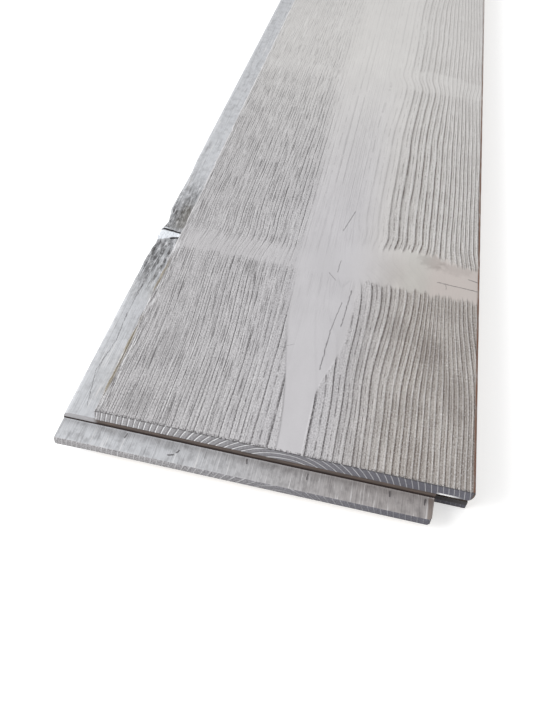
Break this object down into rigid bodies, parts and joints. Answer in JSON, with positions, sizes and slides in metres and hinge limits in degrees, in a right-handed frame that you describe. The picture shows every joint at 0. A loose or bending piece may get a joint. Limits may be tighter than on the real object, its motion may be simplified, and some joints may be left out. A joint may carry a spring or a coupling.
{
  "type": "wall panelling board",
  "caption": "Grey-washed, brushed softwood wall board with a side tongue and groove and an end tongue and groove.",
  "frame": {"origin": "centre of the board's overall outline, tongues included, on its back face", "axes": "+X across the width from the side tongue to the side groove, +Y along the grain from the end tongue to the end groove, +Z out of the face"},
  "size_m": [0.145, 1.2088, 0.016],
  "materials": {
    "grey_washed_softwood": "brushed along the grain, thin grey-white wash, bare wood on the shoulders and the groove-side arris"
  },
  "bodies": {
    "root": {"panelling_board": "grey_washed_softwood"}
  },
  "joints": []
}
